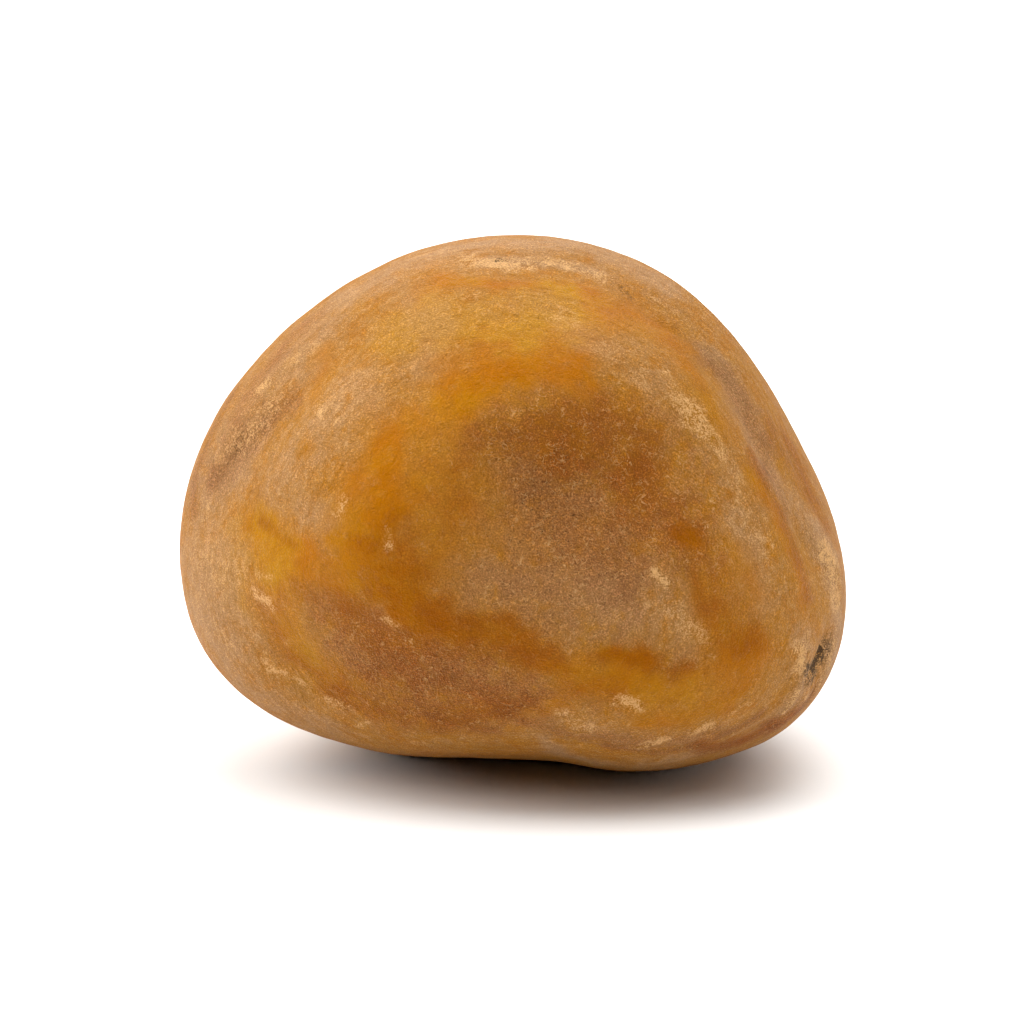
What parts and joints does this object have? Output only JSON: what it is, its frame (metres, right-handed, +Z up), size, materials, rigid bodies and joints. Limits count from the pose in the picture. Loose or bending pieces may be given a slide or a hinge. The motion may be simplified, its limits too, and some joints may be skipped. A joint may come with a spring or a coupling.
{
  "type": "amber specimen",
  "caption": "Rounded, sea-worn lump of milky amber with a frosted skin, a dished front face, a ridge along one side and a flat spot that it rests on.",
  "frame": {"origin": "on the table, under the middle of the stone's box", "axes": "+X to the viewer's right along the longest side, +Y away from the dished front face, +Z up from the table"},
  "size_m": [0.0498, 0.0408, 0.0399],
  "materials": {
    "weathered_amber": "frosted, waxy, weathered skin over milky honey-brown resin"
  },
  "bodies": {
    "root": {"amber": "weathered_amber"}
  },
  "joints": []
}
